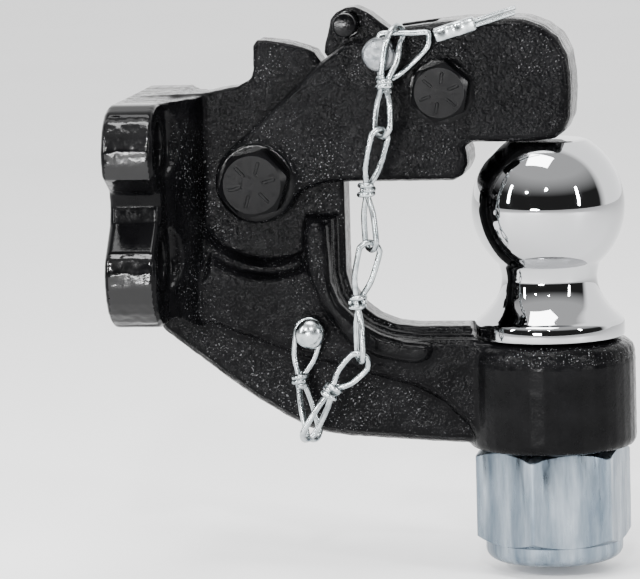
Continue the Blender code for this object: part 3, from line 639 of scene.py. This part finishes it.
LINKS = {
    "chain_link_1": ((105.8, -22.4, 65.0), (104.0, -31.0, 42.8), (103.0, -34.4, 23.4), 30, -38),
    "chain_link_2": ((103.0, -34.4, 26.2), (96.8, -35.4, 3.2), (98.2, -35.6, -19.4), 45, -52),
    "chain_link_3": ((98.2, -35.6, -16.6), (92.4, -36.0, -39.2), (93.0, -36.4, -62.0), 24, -66),
    "chain_link_4": ((94.7, -36.4, -59.9), (81.8, -36.6, -72.9), (71.0, -36.6, -91.8), 8, 62),
    "chain_link_5": ((72.3, -23.0, -47.6), (67.9, -23.6, -70.6), (73.0, -24.6, -93.6), 0, 50),
}
OVER_BAIL = [(103.6, -28.2, 54.0), (104.6, -27.2, 58.6), (106.4, -25.2, 62.6), (108.2, -22.6, 64.3), (109.6, -20.2, 63.2),
             (110.2, -19.7, 61.0), (110.0, -21.0, 58.9), (109.6, -24.4, 57.6), (109.4, -27.4, 55.4), (108.6, -28.8, 51.0)]


def link_path(top, knot, low, turn_up, turn_low, half_up=4.1, half_low=4.1, gap=1.35):
    """Centre line of one knotted wire link: two long loops that pinch together at the knot."""
    top, knot, low = Vector(top), Vector(knot), Vector(low)
    up_dir = (top - low).normalized()

    def loop(end, turn, half):
        axis = (knot - end).normalized()
        side0 = Vector((1, 0, 0))
        side0 = (side0 - up_dir * side0.dot(up_dir)).normalized()
        other = up_dir.cross(side0)
        side = side0 * math.cos(math.radians(turn)) + other * math.sin(math.radians(turn))
        side = (side - axis * side.dot(axis)).normalized()
        pts = []
        for i in range(7):
            t = math.pi * i / 6
            pts.append(end + axis * (half - half * math.sin(t)) + side * (half * math.cos(t)))
        return pts, side, axis, (knot - end).length

    upper, side_u, axis_u, len_u = loop(top, turn_up, half_up)
    dn, side_d, axis_d, len_d = loop(low, turn_low, half_low)
    if side_u.dot(side_d) < 0:
        side_d = -side_d
        dn = list(reversed(dn))
    mid = (side_u + side_d).normalized()
    path = list(upper)
    path.append(top + axis_u * (len_u * 0.6) - side_u * half_up * 0.84)
    path.append(knot - axis_u * 2.8 - (side_u * 1.6 + mid).normalized() * gap * 1.12)
    path.append(knot - mid * gap)
    path.append(knot - axis_d * 2.8 - (side_d * 1.6 + mid).normalized() * gap * 1.12)
    path.append(low + axis_d * (len_d * 0.6) - side_d * half_low * 0.84)
    path += list(reversed(dn))
    path.append(low + axis_d * (len_d * 0.6) + side_d * half_low * 0.84)
    path.append(knot - axis_d * 2.8 + (side_d * 1.6 + mid).normalized() * gap * 1.12)
    path.append(knot + mid * gap)
    path.append(knot - axis_u * 2.8 + (side_u * 1.6 + mid).normalized() * gap * 1.12)
    path.append(top + axis_u * (len_u * 0.6) + side_u * half_up * 0.84)
    return path, knot, up_dir


for index, (name, spec) in enumerate(LINKS.items()):
    first, last = index == 0, index == 4
    path, knot, axis = link_path(*spec, 4.8 if last else 4.1, 3.4 if last else 4.1)
    if first:
        path = [Vector(p) for p in reversed(OVER_BAIL)] + path[8:-1]
    bm = tube(smooth_path(path, 5, True), WIRE_R, 12)
    # the wire's two free ends wind round the waist and finish as short cut tails
    zd = axis
    xd = (Vector((1, 0, 0)) - zd * zd.x).normalized()
    yd = zd.cross(xd)
    for start, sense in ((0.6 + index, 1), (0.6 + index + math.pi, 1)):
        coil = []
        for i in range(34):
            t = i / 33
            ang = start + sense * 2 * math.pi * 1.15 * t
            h = (-2.35 + 2.1 * t) if start < 0.6 + index + 1 else (0.25 + 2.1 * t)
            coil.append(knot + zd * h + (xd * math.cos(ang) + yd * math.sin(ang)) * 2.55)
        tube(coil, 1.05, 12, False, bm)
    place(name + "_wire", bm, [wire_zinc], name, "link_" + str(index + 1), 50)

prof = [(0, -29.6)]
for i in range(1, 13):
    t = math.radians(90 * i / 12)
    prof.append((5.8 * math.sin(t), -25.6 - 4.0 * math.cos(t)))
prof += [(5.6, -25.2), (2.4, -25.2), (2.4, -9.0), (0, -9.0)]
place("chain_rivet_fine", revolve(prof, RIVET[0], RIVET[1], "Y", 64), [wire_zinc], "chain_rivet",
      body_of.get("chain_rivet", "hook"), 40)


# ---------------------------------------------------------------- floor, light, camera

fl = Look("studio_floor", (0.86, 0.86, 0.86), 0.0, 0.6, specular=0.2)
fl.to(fl.ramp(fl.noise(3, 2), [(0.3, 0.86), (0.7, 0.89)]), "Base Color")
bm = bmesh.new()
cx, cy, n = 0.08, 0.0, 96
centre = bm.verts.new((cx, cy, -0.1485))
ring = [bm.verts.new((cx + 6 * math.cos(2 * math.pi * i / n), cy + 6 * math.sin(2 * math.pi * i / n), -0.1485)) for i in range(n)]
for i in range(n):
    bm.faces.new((centre, ring[i], ring[(i + 1) % n]))
me = bpy.data.meshes.new("studio_floor")
bm.to_mesh(me)
bm.free()
me.materials.append(fl.mat)
floor = bpy.data.objects.new("studio_floor", me)
bpy.context.scene.collection.objects.link(floor)

world = bpy.data.worlds.new("studio") if not bpy.context.scene.world else bpy.context.scene.world
bpy.context.scene.world = world
world.use_nodes = True
bg = world.node_tree.nodes["Background"]
bg.inputs["Strength"].default_value = 1.0
wt = world.node_tree
# a studio in the round: bright sweep behind the object and overhead, unlit room in front of it
tc = wt.nodes.new("ShaderNodeTexCoord")
sep = wt.nodes.new("ShaderNodeSeparateXYZ")
wt.links.new(tc.outputs["Generated"], sep.inputs["Vector"])


def span(value, stops):
    r = wt.nodes.new("ShaderNodeValToRGB")
    el = r.color_ramp.elements
    while len(el) < len(stops):
        el.new(0.5)
    for e, (pos, v) in zip(el, stops):
        e.position = pos
        e.color = (v, v, v, 1)
    wt.links.new(value, r.inputs["Fac"])
    return r.outputs["Color"]


def calc(op, a, b):
    m = wt.nodes.new("ShaderNodeMath")
    m.operation = op
    for k, v in enumerate((a, b)):
        if isinstance(v, (int, float)):
            m.inputs[k].default_value = v
        else:
            wt.links.new(v, m.inputs[k])
    return m.outputs["Value"]


depth = calc("MULTIPLY_ADD", sep.outputs["Y"], 0.5)
depth.node.inputs[2].default_value = 0.5
height = calc("MULTIPLY_ADD", sep.outputs["Z"], 0.5)
height.node.inputs[2].default_value = 0.5
behind = calc("MULTIPLY", span(depth, [(0.50, 0.0), (0.62, 1.0)]), 2.7)
above = calc("MULTIPLY", span(height, [(0.66, 0.0), (0.86, 1.0)]), 0.9)
total = calc("ADD", calc("MAXIMUM", behind, above), 0.04)
wt.links.new(total, bg.inputs["Color"])


def lamp(name, at, to, power, width, height):
    data = bpy.data.lights.new(name, "AREA")
    data.shape = "RECTANGLE"
    data.size, data.size_y = width, height
    data.energy = power
    ob = bpy.data.objects.new(name, data)
    ob.location = at
    ob.rotation_euler = (Vector(to) - Vector(at)).to_track_quat("-Z", "Y").to_euler()
    bpy.context.scene.collection.objects.link(ob)
    return ob


mid = (0.09, 0, -0.03)
lamp("top_box", (0.0, -0.25, 1.1), mid, 16, 0.6, 0.4)
lamp("left_strip", (-1.0, -0.75, 0.45), mid, 16, 0.08, 0.6)
lamp("right_strip", (1.15, -0.75, 0.35), mid, 12, 0.08, 0.6)
lamp("front_spot", (0.25, -1.6, 0.9), mid, 18, 0.09, 0.09)
lamp("front_spot_left", (-0.6, -1.4, 0.7), mid, 16, 0.08, 0.08)
lamp("low_strip", (-0.25, -1.6, -0.02), (0.05, 0, 0.0), 10, 0.36, 0.035)

T, D = Vector((72.9, 0, -39)) * MM, 1740.9 * MM
az, el, S = math.radians(8.3), math.radians(7.4), -0.027
C = math.sqrt(1 - S * S)
R = Vector((math.cos(az), math.sin(az), 0))
U = Vector((-math.sin(az) * math.sin(el), math.cos(az) * math.sin(el), math.cos(el)))
dd = Vector((math.sin(az) * math.cos(el), -math.cos(az) * math.cos(el), math.sin(el)))
right, upv = C * R + S * U, -S * R + C * U
cam_data = bpy.data.cameras.new("camera")
cam_data.sensor_fit = "HORIZONTAL"
cam_data.sensor_width = 36.0
cam_data.lens = 4500 / 640 * 36
cam_data.clip_end = 50
cam = bpy.data.objects.new("camera", cam_data)
m = Matrix((right, upv, dd)).transposed().to_4x4()
m.translation = T + dd * D
cam.matrix_world = m
bpy.context.scene.collection.objects.link(cam)
bpy.context.scene.camera = cam
